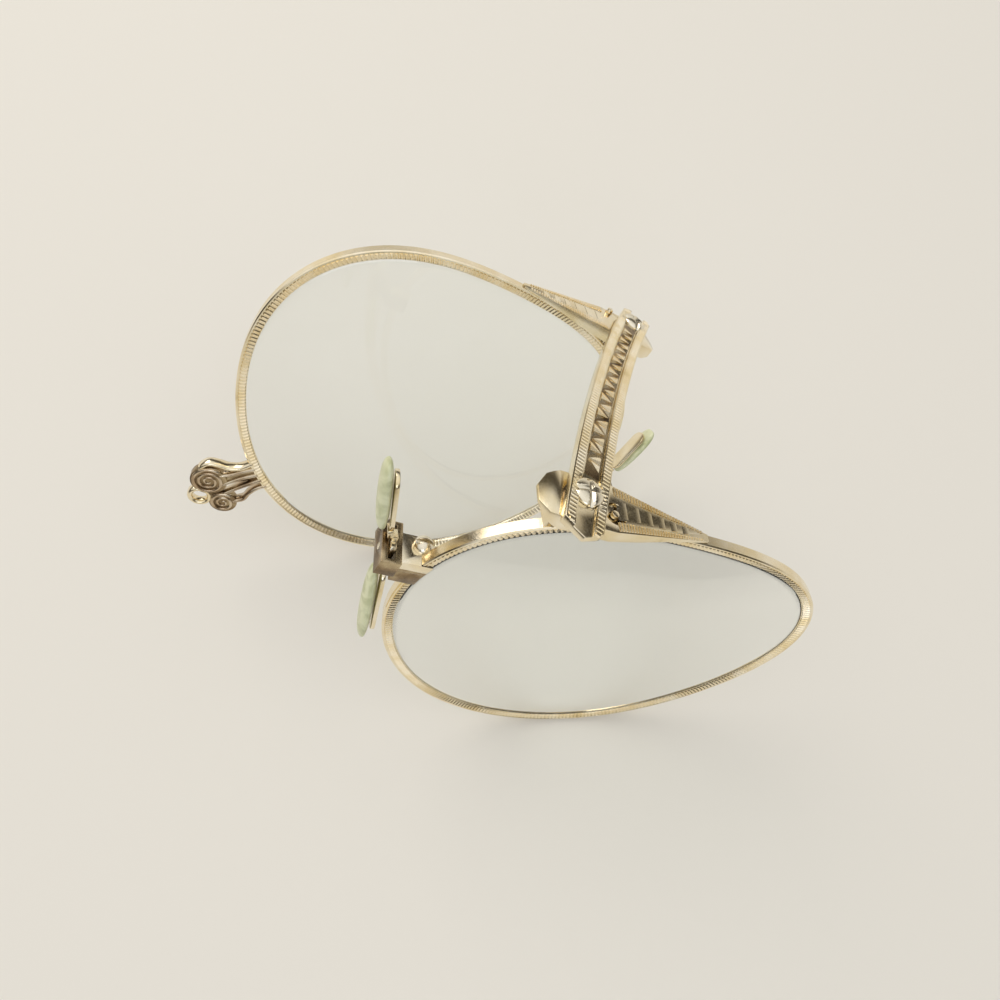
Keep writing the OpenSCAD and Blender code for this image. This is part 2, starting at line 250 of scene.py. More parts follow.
@dataclass(frozen=True)
class WornGold:
    """Rolled gold: a thin pale gold skin on brass, polished and then worn in the hand.

    The skin is bright and warm, with brown tarnish in soft patches and fine rubbing marks that
    make its shine a little uneven.
    """

    name: str
    bright: str
    warm: str
    tarnish: str
    roughness: float
    tarnish_share: float
    cloud_mm: float = 2.5
    mark_mm: float = 0.12
    mark_deep_mm: float = 0.02
    mark_strength: float = 0.04
    polished: float = 0.05
    rubbed: float = 0.08
    bright_from: float = 0.7

    def build(self) -> bpy.types.Material:
        """Makes the material and returns it."""
        material = bpy.data.materials.new(self.name)
        material.use_nodes = True
        tree = material.node_tree
        shader = tree.nodes["Principled BSDF"]
        shader.inputs["Metallic"].default_value = 1.0
        where = add_node(tree, "ShaderNodeTexCoord", {}, {}).outputs["Object"]
        cloud = add_node(tree, "ShaderNodeTexNoise",
                         {"in:Scale": 1 / (self.cloud_mm * MM), "in:Detail": 5.0}, {"Vector": where})
        tint = add_node(tree, "ShaderNodeValToRGB", {}, {"Fac": cloud.outputs["Fac"]})
        # Clouds lie between about 0.2 and 0.7, so a small share tarnishes only the deepest ones.
        edge = 0.2 + 0.4 * self.tarnish_share
        colour_ramp(tint, [(edge - 0.12, self.tarnish), (edge + 0.1, self.warm),
                           (self.bright_from, self.bright)])
        tree.links.new(tint.outputs["Color"], shader.inputs["Base Color"])
        marks = add_node(tree, "ShaderNodeTexNoise",
                         {"in:Scale": 1 / (self.mark_mm * MM), "in:Detail": 3.0}, {"Vector": where})
        spread = add_node(tree, "ShaderNodeMapRange",
                          {"in:From Min": 0.3, "in:From Max": 0.7,
                           "in:To Min": self.roughness - self.polished,
                           "in:To Max": self.roughness + self.rubbed},
                          {"Value": marks.outputs["Fac"]})
        tree.links.new(spread.outputs["Result"], shader.inputs["Roughness"])
        bump = add_node(tree, "ShaderNodeBump",
                        {"in:Strength": self.mark_strength, "in:Distance": self.mark_deep_mm * MM},
                        {"Height": marks.outputs["Fac"]})
        tree.links.new(bump.outputs["Normal"], shader.inputs["Normal"])
        return material


@dataclass(frozen=True)
class GroundGlass:
    """Crown glass, ground and polished: clear, with a faint grey green and fine rubbing marks.

    Shadow rays pass straight through with a slight tint, so the lens throws a pale shadow.
    """

    name: str = "crown_glass"
    tint: str = "#fbfdfc"
    shadow_tint: str = "#f1f4f2"
    ior: float = 1.52
    mark_mm: float = 0.5
    mark_roughness: float = 0.12

    def build(self) -> bpy.types.Material:
        """Makes the material and returns it."""
        material = bpy.data.materials.new(self.name)
        material.use_nodes = True
        tree = material.node_tree
        shader = tree.nodes["Principled BSDF"]
        shader.inputs["Base Color"].default_value = linear(self.tint)
        shader.inputs["Transmission Weight"].default_value = 1.0
        shader.inputs["IOR"].default_value = self.ior
        where = add_node(tree, "ShaderNodeTexCoord", {}, {}).outputs["Object"]
        marks = add_node(tree, "ShaderNodeTexNoise",
                         {"in:Scale": 1 / (self.mark_mm * MM), "in:Detail": 6.0}, {"Vector": where})
        spread = add_node(tree, "ShaderNodeMapRange",
                          {"in:From Min": 0.62, "in:From Max": 0.8,
                           "in:To Min": 0.0, "in:To Max": self.mark_roughness},
                          {"Value": marks.outputs["Fac"]})
        tree.links.new(spread.outputs["Result"], shader.inputs["Roughness"])
        through = add_node(tree, "ShaderNodeBsdfTransparent",
                           {"in:Color": linear(self.shadow_tint)}, {})
        rays = add_node(tree, "ShaderNodeLightPath", {}, {})
        mix = add_node(tree, "ShaderNodeMixShader", {},
                       {0: rays.outputs["Is Shadow Ray"], 1: shader.outputs["BSDF"],
                        2: through.outputs["BSDF"]})
        tree.links.new(mix.outputs["Shader"], tree.nodes["Material Output"].inputs["Surface"])
        return material


@dataclass(frozen=True)
class PearlShell:
    """Pads of pale moulded shell: a cream green body with cloudy streaks and a waxy gloss."""

    name: str = "pale_shell_pad"
    light: str = "#e1e3bf"
    dark: str = "#bfc396"
    roughness: float = 0.32
    glow: float = 0.2
    glow_mm: tuple[float, float, float] = (0.6, 0.6, 0.4)
    streak_mm: float = 1.6
    streak_swirl: float = 1.2

    def build(self) -> bpy.types.Material:
        """Makes the material and returns it."""
        material = bpy.data.materials.new(self.name)
        material.use_nodes = True
        tree = material.node_tree
        shader = tree.nodes["Principled BSDF"]
        shader.inputs["Roughness"].default_value = self.roughness
        shader.inputs["Subsurface Weight"].default_value = self.glow
        shader.inputs["Subsurface Radius"].default_value = [deep * MM for deep in self.glow_mm]
        where = add_node(tree, "ShaderNodeTexCoord", {}, {}).outputs["Object"]
        streak = add_node(tree, "ShaderNodeTexNoise",
                          {"in:Scale": 1 / (self.streak_mm * MM), "in:Detail": 4.0,
                           "in:Distortion": self.streak_swirl}, {"Vector": where})
        tint = add_node(tree, "ShaderNodeValToRGB", {}, {"Fac": streak.outputs["Fac"]})
        colour_ramp(tint, [(0.35, self.dark), (0.6, self.light)])
        tree.links.new(tint.outputs["Color"], shader.inputs["Base Color"])
        return material


@dataclass(frozen=True)
class StagePaper:
    """Plain uncoated paper under the piece: warm white and quite matt."""

    name: str = "stage_paper"
    colour: str = "#ebe7de"
    roughness: float = 0.9

    def build(self) -> bpy.types.Material:
        """Makes the material and returns it."""
        material = bpy.data.materials.new(self.name)
        material.use_nodes = True
        shader = material.node_tree.nodes["Principled BSDF"]
        shader.inputs["Base Color"].default_value = linear(self.colour)
        shader.inputs["Roughness"].default_value = self.roughness
        return material


class Finishes:
    """All materials of the piece, each made once."""

    def __init__(self) -> None:
        """Builds the materials."""
        self.gold = WornGold("rolled_gold", bright="#fbf1da", warm="#eedcb2", tarnish="#b59c70",
                             roughness=0.17, tarnish_share=0.12).build()
        self.milled = WornGold("milled_gold", bright="#fff4dc", warm="#f0dbad", tarnish="#bb9d6a",
                               roughness=0.22, tarnish_share=0.12).build()
        # Dark gold for pieces in recesses, between parts and under things: painted shade.
        self.dark = WornGold("shade_painted_gold", bright="#c9b793", warm="#8f7a5c", tarnish="#3c3024",
                             roughness=0.26, tarnish_share=0.5).build()
        self.aged = WornGold("aged_gold", bright="#eadfc8", warm="#b9a284", tarnish="#5a4a38",
                             roughness=0.2, tarnish_share=0.32).build()
        self.screw = WornGold("nickel_silver", bright="#f7efdd", warm="#e6dcc4", tarnish="#a0957e",
                              roughness=0.2, tarnish_share=0.1).build()
        self.glass = GroundGlass().build()
        self.shell = PearlShell().build()
        self.paper = StagePaper().build()


class Bench:
    """Modelling steps that every sub-assembly uses."""

    @staticmethod
    def deselect() -> None:
        """Leaves nothing selected, in object mode."""
        if bpy.context.object and bpy.context.object.mode != "OBJECT":
            bpy.ops.object.mode_set(mode="OBJECT")
        bpy.ops.object.select_all(action="DESELECT")

    @staticmethod
    def pick(piece: bpy.types.Object) -> None:
        """Makes a piece the only selected and active one.

        Args:
            piece: The piece.
        """
        Bench.deselect()
        piece.select_set(True)
        bpy.context.view_layer.objects.active = piece

    @staticmethod
    def outward(piece: bpy.types.Object, merge_mm: float = 0.001) -> None:
        """Merges doubled points, closes open ends and turns all faces outwards.

        Args:
            piece: The piece.
            merge_mm: Distance under which points are merged.
        """
        Bench.pick(piece)
        bpy.ops.object.mode_set(mode="EDIT")
        bpy.ops.mesh.select_all(action="SELECT")
        bpy.ops.mesh.remove_doubles(threshold=merge_mm * MM)
        bpy.ops.mesh.select_all(action="DESELECT")
        bpy.ops.mesh.select_mode(type="VERT")
        bpy.ops.mesh.select_non_manifold()
        bpy.ops.mesh.fill_holes(sides=0)
        bpy.ops.mesh.select_all(action="SELECT")
        bpy.ops.mesh.normals_make_consistent(inside=False)
        bpy.ops.object.mode_set(mode="OBJECT")

    @staticmethod
    def smooth(piece: bpy.types.Object, angle: float = 35.0) -> None:
        """Shades a piece smooth where faces meet at less than an angle, in degrees."""
        Bench.pick(piece)
        bpy.ops.object.shade_smooth_by_angle(angle=math.radians(angle))

    @staticmethod
    def shape(piece: bpy.types.Object, place: Callable[[Vector], Vector]) -> None:
        """Moves every point of a mesh.

        Args:
            piece: The piece.
            place: Function from a point's old place to its new one.
        """
        for vertex in piece.data.vertices:
            vertex.co = place(vertex.co.copy())
        piece.data.update()

    @staticmethod
    def ring(name: str, stations: int, section: int,
             place: Callable[[float, int], Vector]) -> bpy.types.Object:
        """Closed band that follows an outline.

        Args:
            name: Name of the piece.
            stations: Points round the outline, at most 256.
            section: Points round the band's section.
            place: Function of the angle in degrees and the section's point.

        Returns:
            The piece, with its place in its mesh.
        """
        Bench.deselect()
        bpy.ops.mesh.primitive_torus_add(major_segments=stations, minor_segments=section,
                                         major_radius=LAYOUT.lens_r * MM, minor_radius=MM)
        piece = bpy.context.object
        piece.name = name
        for index, vertex in enumerate(piece.data.vertices):
            vertex.co = place(360 * (index // section) / stations, index % section)
        piece.data.update()
        Bench.outward(piece)
        Bench.smooth(piece)
        return piece

    @staticmethod
    def sweep(name: str, stations: int, section: int,
              place: Callable[[float, float], Vector]) -> bpy.types.Object:
        """Open bar that follows a path, with its ends closed.

        Args:
            name: Name of the piece.
            stations: Steps along the path.
            section: Steps round the section.
            place: Function of the share along the path and the share round the section.

        Returns:
            The piece, with its place in its mesh.
        """
        Bench.deselect()
        bpy.ops.mesh.primitive_grid_add(x_subdivisions=section, y_subdivisions=stations, size=1)
        piece = bpy.context.object
        piece.name = name
        Bench.shape(piece, lambda co: place(co.y + 0.5, co.x + 0.5))
        Bench.outward(piece)
        Bench.smooth(piece)
        return piece

    @staticmethod
    def ribs(name: str, count: int, fill: float, place: Callable[[float, float, float], Vector],
             top: float = 0.45, top_long: float = 0.86) -> bpy.types.Object:
        """Row of small ridges, modelled once and repeated, then laid along a path.

        Args:
            name: Name of the piece.
            count: Number of ridges.
            fill: Share of the spacing that a ridge's foot takes.
            place: Function of the count along the row, the share across and the height.
            top: Width of the ridge's top as a share of its foot.
            top_long: Length of the ridge's top as a share of its foot.

        Returns:
            The piece, with its place in its mesh.
        """
        Bench.deselect()
        bpy.ops.mesh.primitive_cube_add(size=1, location=(0, 0, 0))
        piece = bpy.context.object
        piece.name = name
        Bench.shape(piece, lambda co: Vector((co.x * fill * (top if co.z > 0 else 1),
                                              co.y * (top_long if co.z > 0 else 1) + 0.5,
                                              co.z + 0.5)))
        row = piece.modifiers.new("row", "ARRAY")
        row.use_relative_offset = False
        row.use_constant_offset = True
        row.constant_offset_displace = (1, 0, 0)
        row.count = count
        Bench.pick(piece)
        bpy.ops.object.modifier_apply(modifier=row.name)
        Bench.shape(piece, lambda co: place(co.x + 0.5, co.y, co.z))
        Bench.outward(piece, merge_mm=0.0001)
        Bench.smooth(piece, 20)
        return piece

    @staticmethod
    def break_edges(piece: bpy.types.Object, width: float, segments: int,
                    sharp: float = 30.0) -> None:
        """Rounds the sharp edges of a piece.

        Args:
            piece: The piece, which is active.
            width: Width of the broken edge, in the mesh's own unit.
            segments: Faces across the broken edge.
            sharp: Smallest angle between faces that is rounded, in degrees.
        """
        edge = piece.modifiers.new("broken edge", "BEVEL")
        edge.width = width
        edge.segments = segments
        edge.limit_method = "ANGLE"
        edge.angle_limit = math.radians(sharp)
        bpy.ops.object.modifier_apply(modifier=edge.name)

    @staticmethod
    def softened(node: str, width_mm: float) -> bpy.types.Object:
        """Copy of a plain solid with its edges broken, as a file and a polish leave them.

        Args:
            node: Name of the solid to copy.
            width_mm: Width of the broken edge.

        Returns:
            The new piece, where the solid is.
        """
        merge_mm, flat_degrees = 0.0005, 0.5
        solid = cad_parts[node]
        piece = bpy.data.objects.new(node + "_dressed", solid.data.copy())
        bpy.context.scene.collection.objects.link(piece)
        piece.data.materials.clear()
        Bench.pick(piece)
        bpy.ops.object.mode_set(mode="EDIT")
        bpy.ops.mesh.select_all(action="SELECT")
        bpy.ops.mesh.remove_doubles(threshold=merge_mm * MM)
        bpy.ops.mesh.dissolve_limited(angle_limit=math.radians(flat_degrees))
        bpy.ops.mesh.normals_make_consistent(inside=False)
        bpy.ops.object.mode_set(mode="OBJECT")
        Bench.break_edges(piece, width_mm * MM, 2)
        Bench.smooth(piece, 30)
        return piece


@dataclass
class Dresser:
    """Gives finished pieces their material and body."""

    finishes: Finishes

    def dress(self, piece: bpy.types.Object, finish: bpy.types.Material, body: str, slot: Slot,
              *nodes: str) -> None:
        """Finishes one piece.

        Args:
            piece: The piece.
            finish: Its material.
            body: The body that it moves with.
            slot: The material slot that it belongs to; not used.
            nodes: The plain solids that it stands for, if any.
        """
        piece.data.materials.clear()
        piece.data.materials.append(finish)
        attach(piece, body)
        if nodes:
            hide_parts(*nodes)
        LOG.info("%s: %d faces on %s", piece.name, len(piece.data.polygons), body)

    def keep(self, node: str, finish: bpy.types.Material) -> None:
        """Gives a plain solid whose shape is right its material.

        Args:
            node: Name of the solid.
            finish: Its material.
        """
        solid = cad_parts[node]
        for slot in solid.material_slots:
            slot.material = finish
        if not solid.material_slots:
            solid.data.materials.append(finish)
        LOG.info("%s: kept with %s", node, finish.name)


@dataclass
class Bridge:
    """The sprung leaf bar with its milled rails and engraved middle.

    Two corners of each rail are cut back, each by a length and a slope. The floor, the lines and
    the rows of leaves are shorter than the pivot spacing, each by its own length.
    """

    dresser: Dresser
    half_width: float = 1.6
    rail: float = 0.85
    channel_deep: float = 0.25
    rib_pitch: float = 0.36
    rib_foot: float = -0.06
    rib_high: float = 0.13
    rib_margin: float = 0.1
    head_clear: float = 1.42
    right_x: float = -16.0
    left_x: float = 17.8
    right_cut: tuple[float, float] = (0.6, 0.6)
    left_cut: tuple[float, float] = (0.7, 0.4)
    floor_short: float = 3.4
    floor_margin: float = 0.02
    floor_half: float = 0.02
    line_short: float = 3.2
    line_margin: float = 0.09
    line_half: tuple[float, float] = (0.05, 0.06)
    leaves_short: float = 4.2
    leaf_pitch: float = 2.3
    leaf_foot: float = -0.03
    leaf_high: float = 0.17
    leaf_margin: float = 0.15

    def build(self) -> None:
        """Builds the bar, its ribs and its engraving."""
        body = Bench.softened("bridge_spring", 0.08)
        self.finish(body, self.dresser.finishes.gold, "bridge_spring")
        for face in Face:
            self.rail_ribs(face)
            self.border(face)
        self.channel_floor()
        for face in Face:
            self.leaves(face)

    def finish(self, piece: bpy.types.Object, metal: bpy.types.Material, *nodes: str) -> None:
        """Gives a piece of the bar its metal and body."""
        self.dresser.dress(piece, metal, "bridge", Slot.GOLD, *nodes)

    def channel_floor(self) -> None:
        """Dark floor of the engraving between the screws: painted shade in the sunk channel."""
        place = LAYOUT.bar_place()
        reach = self.half_width - self.rail - self.floor_margin
        span = LAYOUT.pivot_spacing - self.floor_short
        flatness = 1.6

        def spot(along: float, around: float) -> Vector:
            """Point of the floor.

            Args:
                along: Share of the way along the bar.
                around: Share of the way round the section.

            Returns:
                The point in the row's frame.
            """
            turn = math.tau * around
            y = reach * max(-1.0, min(1.0, flatness * math.cos(turn)))
            return place((along - 0.5) * span, y,
                         -self.channel_deep + self.floor_half * math.sin(turn))

        self.finish(Bench.sweep("engraved_floor", 120, 12, spot), self.dresser.finishes.dark)

    def rail_ribs(self, face: Face) -> None:
        """Cross-milled ribs on one rail, sunk where the screw heads lie.

        Args:
            face: The side of the bar that the rail is on.
        """
        place = LAYOUT.bar_place()
        count = round((self.left_x - self.right_x) / self.rib_pitch)
        inner = self.half_width - self.rail + self.rib_margin
        outer = self.half_width - self.rib_margin
        left_long, left_slope = self.left_cut
        right_long, right_slope = self.right_cut

        def spot(along: float, across: float, high: float) -> Vector:
            """Point of a rib.

            Args:
                along: Count of ribs along the rail.
                across: Share of the way across the rail, outwards.
                high: Share of the rib's height.

            Returns:
                The point in the row's frame.
            """
            x = self.right_x + along * self.rib_pitch
            taper = 0.0
            if x > self.left_x - left_long:
                taper = (x - self.left_x + left_long) * left_slope
            if x < self.right_x + right_long:
                taper = (self.right_x + right_long - x) * right_slope
            y = face.value * (inner + across * (outer - taper - inner))
            clear = math.hypot(abs(x) - LAYOUT.pivot_spacing / 2, y) >= self.head_clear
            return place(x, y, self.rib_foot + self.rib_high * high * (1 if clear else 0))

        ribs = Bench.ribs(f"rail_ribs_{face.label}", count, 0.86, spot)
        self.finish(ribs, self.dresser.finishes.milled)

    def border(self, face: Face) -> None:
        """Thin raised line beside the engraving.

        Args:
            face: The side of the bar that the line is on.
        """
        place = LAYOUT.bar_place()
        middle = self.half_width - self.rail - self.line_margin
        span = LAYOUT.pivot_spacing - self.line_short
        half_wide, half_high = self.line_half

        def spot(along: float, around: float) -> Vector:
            """Point of the line.

            Args:
                along: Share of the way along the bar.
                around: Share of the way round the section.

            Returns:
                The point in the row's frame.
            """
            turn = math.tau * around
            return place((along - 0.5) * span, face.value * middle + half_wide * math.cos(turn),
                         -self.channel_deep + half_high * math.sin(turn))

        line = Bench.sweep(f"engraved_border_{face.label}", 120, 8, spot)
        self.finish(line, self.dresser.finishes.gold)

    def leaves(self, face: Face) -> None:
        """Row of three-sided leaves that point at the opposite rail.

        Args:
            face: The side of the bar that the leaves grow from.
        """
        place = LAYOUT.bar_place()
        count = int((LAYOUT.pivot_spacing - self.leaves_short) / self.leaf_pitch)
        reach = self.half_width - self.rail - self.leaf_margin
        stagger, tip_share = 0.25, 0.92

        def spot(along: float, across: float, high: float) -> Vector:
            """Point of a leaf.

            Args:
                along: Count of leaves along the row.
                across: Share of the way from the leaf's foot to its tip.
                high: Share of the leaf's height.

            Returns:
                The point in the row's frame.
            """
            whole = math.floor(along)
            inside = along - whole - 0.5
            x = (whole + 0.5 - count / 2 + face.value * stagger) * self.leaf_pitch
            x += inside * self.leaf_pitch * (1 - across)
            y = face.value * (reach - across * 2 * reach * tip_share)
            return place(x, y, -self.channel_deep + self.leaf_foot + self.leaf_high * high)

        leaf = Bench.ribs(f"engraved_leaves_{face.label}", count, 0.9, spot, top=0.3)
        self.finish(leaf, self.dresser.finishes.milled)


@dataclass
class LensUnit:
    """One rimmed lens with its end piece, closing blocks and screws.

    The end piece is a wedge: from wedge_from on it narrows and falls towards its tip.
    """

    dresser: Dresser
    side: Side
    rim_width: float = 1.0
    half_depth: float = 0.55
    rib_pitch: float = 0.42
    lens_half: float = 0.7
    lens_crown: float = 0.47
    lens_tongue: float = 0.18
    wedge_from: float = 2.8
    wedge_long: float = 9.4
    wedge_half: float = 2.2
    wedge_narrows: float = 1.85
    wedge_top: float = -1.1
    wedge_falls: float = 0.4
    strips_from: float = 3.0
    strips_to: float = 11.6
    strip_ribs: int = 32
    chevrons: int = 6
    web_from: float = -0.7
    web_pitch: float = 0.4
    web_ribs: int = 12
    web_top: float = -1.9
    web_half: float = 0.37

    @property
    def body(self) -> str:
        """Name of the body that this unit's pieces move with."""
        return f"{self.side.value}_lens_unit"

    def node(self, name: str) -> str:
        """Full name of one of this unit's solids."""
        return f"{self.side.value}_{name}"

    def finish(self, piece: bpy.types.Object, metal: bpy.types.Material, *nodes: str) -> None:
        """Gives a gold piece of the unit its metal and body."""
        self.dresser.dress(piece, metal, self.body, Slot.GOLD, *nodes)

    def build(self) -> None:
        """Builds all pieces of the unit."""
        self.rim()
        self.milling()
        self.lens()
        self.end_piece()
        self.web()
        self.pivot_screw()
        self.small_parts()

    def rim(self) -> None:
        """Smooth outer band with a sloped front face for the milling."""
        place = LAYOUT.unit_place(self.side)
        w, d = self.rim_width, self.half_depth
        # Points of the section: how far outside the opening, and how far behind the middle.
        section = [(w, d - 0.12), (w - 0.12, d), (0.15, d), (0.0, d - 0.12), (0.0, 0.0),
                   (0.0, -d + 0.3), (0.18, -d + 0.2), (w - 0.3, -d + 0.06), (w - 0.22, -d),
                   (w - 0.1, -d), (w, -d + 0.1), (w, -d + 0.4)]

        def spot(angle: float, corner: int) -> Vector:
            """Point of the band.

            Args:
                angle: Direction from the temple, in degrees.
                corner: Number of the section's point.

            Returns:
                The point in the row's frame.
            """
            grow, back = section[corner]
            x, z = LAYOUT.outline(angle, grow)
            return place(x, back, z)

        band = Bench.ring(self.node("rim_band"), 240, len(section), spot)
        self.finish(band, self.dresser.finishes.gold, self.node("rim"))

    def milling(self) -> None:
        """Coin-edge ribs on the sloped front face, all round the lens."""
        place = LAYOUT.unit_place(self.side)
        count = round(math.tau * (LAYOUT.lens_r + 0.5) / self.rib_pitch)
        margin, rib_long = 0.05, self.rim_width - 0.35
        foot, slope, height = -self.half_depth + 0.24, 0.18, 0.1

        def spot(along: float, across: float, high: float) -> Vector:
            """Point of a rib.

            Args:
                along: Count of ribs round the lens.
                across: Share of the way across the sloped face, outwards.
                high: Share of the rib's height.

            Returns:
                The point in the row's frame.
            """
            x, z = LAYOUT.outline(360 * along / count, margin + across * rib_long)
            return place(x, foot - across * slope - height * high, z)

        ribs = Bench.ribs(self.node("rim_milling"), count, 0.8, spot)
        self.finish(ribs, self.dresser.finishes.milled)

    def lens(self) -> None:
        """Clear lens, slightly thicker in the middle, with a rounded edge."""
        place = LAYOUT.unit_place(self.side)
        edge_round = 8
        Bench.deselect()
        bpy.ops.mesh.primitive_uv_sphere_add(segments=144, ring_count=32, radius=1)
        glass = bpy.context.object
        glass.name = self.node("lens_glass")

        def spot(co: Vector) -> Vector:
            """Presses a point of the ball into the lens.

            Args:
                co: The point on the ball of radius 1.

            Returns:
                The point in the row's frame.
            """
            share = min(math.hypot(co.x, co.y), 1.0)
            angle = math.degrees(math.atan2(co.y, co.x))
            radius = share * (LAYOUT.opening(angle) + self.lens_tongue)
            thick = self.lens_half - self.lens_crown * share**2
            flat = math.copysign(min(1.0, abs(co.z) * edge_round), co.z)
            a = math.radians(angle)
            return place(LAYOUT.lens_out + radius * math.cos(a), -flat * thick,
                         -LAYOUT.lens_drop + radius * math.sin(a))

        Bench.shape(glass, spot)
        Bench.outward(glass)
        Bench.smooth(glass, 50)
        self.dresser.dress(glass, self.dresser.finishes.glass, self.body, Slot.GLASS,
                           self.node("lens"))

    def wedge_height(self, x: float) -> float:
        """Height of the end piece's top at a distance from the pivot."""
        return self.wedge_top - self.wedge_falls * max(0.0, x - self.wedge_from) / self.wedge_long

    def wedge_edge(self, x: float) -> float:
        """Half width of the end piece at a distance from the pivot."""
        return self.wedge_half - self.wedge_narrows * max(0.0, x - self.wedge_from) / self.wedge_long

    def end_piece(self) -> None:
        """Wedge plate with milled strips along both edges and a cut middle."""
        finishes = self.dresser.finishes
        plate = Bench.softened(self.node("end_piece"), 0.07)
        self.finish(plate, finishes.gold, self.node("end_piece"))
        place = LAYOUT.unit_place(self.side)
        span = self.strips_to - self.strips_from
        inner, wide, foot, height = 0.55, 0.4, -0.05, 0.15

        for face in Face:
            def strip(along: float, across: float, high: float, way: int = face.value) -> Vector:
                """Point of a milled rib.

                Args:
                    along: Count of ribs along the strip.
                    across: Share of the way across the strip, outwards.
                    high: Share of the rib's height.
                    way: Direction of the strip's side.

                Returns:
                    The point in the row's frame.
                """
                x = self.strips_from + span * along / self.strip_ribs
                y = way * self.wedge_edge(x) * (inner + wide * across)
                return place(x, y, self.wedge_height(x) + foot + height * high)

            ribs = Bench.ribs(self.node(f"end_milling_{face.label}"), self.strip_ribs, 0.8, strip)
            self.finish(ribs, finishes.milled)

        middle_long, middle_wide, point, cut_foot, cut_high = 0.85, 0.45, 1.3, -0.06, 0.1

        def chevron(along: float, across: float, high: float) -> Vector:
            """Point of a chevron.

            Args:
                along: Count of chevrons from the bar.
                across: Share of the way across the middle.
                high: Share of the chevron's height.

            Returns:
                The point in the row's frame.
            """
            x = self.strips_from + span * middle_long * along / self.chevrons
            aside = 2 * across - 1
            y = self.wedge_edge(x) * middle_wide * aside
            x += point * (1 - abs(aside))
            return place(x, y, self.wedge_height(x) + cut_foot + cut_high * high)

        cuts = Bench.ribs(self.node("end_engraving"), self.chevrons, 0.8, chevron)
        self.finish(cuts, finishes.gold)

    def rim_top(self, x: float) -> float:
        """Finds the height of the rim's outer edge above the lens.

        Args:
            x: Distance from the pivot.

        Returns:
            Z in the lens unit's frame.
        """
        across = x - LAYOUT.lens_out
        radius, margin = LAYOUT.lens_r + 0.9, 0.05
        up = math.sqrt(max(radius**2 - across**2, 0.0))
        angle = math.degrees(math.atan2(up, across))
        return LAYOUT.outline(angle, self.rim_width + margin)[1]

    def web(self) -> None:
        """Ribbed web between the end piece and the rim, on both faces, darkened with painted shade.
        """
        place = LAYOUT.unit_place(self.side)
        rib_high, shortest = 0.12, 0.05

        for face in Face:
            def rib(along: float, across: float, high: float, way: int = face.value) -> Vector:
                """Point of an upright rib.

                Args:
                    along: Count of ribs along the web.
                    across: Share of the way down the web.
                    high: Share of the rib's height.
                    way: Direction of the web's face.

                Returns:
                    The point in the row's frame.
                """
                x = self.web_from + along * self.web_pitch
                down = min(self.rim_top(x) - self.web_top, -shortest)
                return place(x, way * (self.web_half + rib_high * high),
                             self.web_top + across * down)

            ribs = Bench.ribs(self.node(f"web_ribs_{face.label}"), self.web_ribs, 0.85, rib)
            self.finish(ribs, self.dresser.finishes.dark)

    def pivot_screw(self) -> None:
        """Screw with a domed head that a cross cut divides into four soft lobes."""
        place = LAYOUT.unit_place(self.side)
        seat, radius, high = -0.3, 1.28, 0.62
        cut_deep, cut_half, thinnest, dome_full = 0.24, 0.24, 0.02, 0.8
        shank_r, shank_long, shank_middle = 0.75, 2.25, -1.45
        Bench.deselect()
        bpy.ops.mesh.primitive_uv_sphere_add(segments=96, ring_count=64, radius=1)
        head = bpy.context.object
        head.name = self.node("screw_head")

        def dome(co: Vector) -> Vector:
            """Presses a point of the ball into the cut head.

            Args:
                co: The point on the ball of radius 1.

            Returns:
                The point in the row's frame.
            """
            if co.z < 0:
                return place(co.x * radius, co.y * radius, seat)
            aside = min(abs(co.x), abs(co.y)) * radius
            dip = cut_deep * max(0.0, 1 - (aside / cut_half) ** 2)
            rise = max(thinnest, high * co.z**dome_full - dip)
            return place(co.x * radius, co.y * radius, seat + rise)

        Bench.shape(head, dome)
        Bench.outward(head)
        bpy.ops.mesh.primitive_cylinder_add(vertices=48, radius=shank_r, depth=shank_long,
                                            location=(0, 0, shank_middle))
        shank = bpy.context.object
        bpy.ops.object.transform_apply(location=True)
        Bench.shape(shank, lambda co: place(co.x, co.y, co.z))
        Bench.outward(shank)
        Bench.pick(head)
        shank.select_set(True)
        bpy.ops.object.join()
        head.location = (0, 0, 0)
        Bench.smooth(head, 40)
        self.dresser.dress(head, self.dresser.finishes.screw, self.body, Slot.SCREW,
                           self.node("pivot_screw"))

    def small_parts(self) -> None:
        """Closing screw, washer, stud, blocks and guard fittings with broken edges."""
        finishes = self.dresser.finishes
        # The solid's own right stud meets the bar over the last degrees of the fold. The copies of
        # both studs are smaller by this share of their size, so that they keep clear there.
        stud_share = 0.78
        # The lower block, the guard bracket and the guard box take the dark gold all over: painted
        # shade for their faces that lie in shadow under their lit tops.
        for name, finish, slot, edge in (
                ("rim_screw", finishes.screw, Slot.SCREW, 0.05),
                ("stop_stud", finishes.gold, Slot.GOLD, 0.08),
                ("rim_block_upper", finishes.gold, Slot.GOLD, 0.08),
                ("rim_block_lower", finishes.dark, Slot.GOLD, 0.08),
                ("guard_bracket", finishes.dark, Slot.GOLD, 0.04),
                ("guard_box", finishes.dark, Slot.GOLD, 0.08),
                ("guard_pin", finishes.screw, Slot.SCREW, 0.05)):
            piece = Bench.softened(self.node(name), edge)
            if name == "stop_stud":
                points = [vertex.co for vertex in piece.data.vertices]
                middle = sum(points, Vector()) / len(points)
                Bench.shape(piece, lambda co, m=middle: m + (co - m) * stud_share)
            self.dresser.dress(piece, finish, self.body, slot, self.node(name))
        # The washer under the screw head takes the dark gold: painted shade.
        self.dresser.keep(self.node("hinge_washer"), finishes.dark)


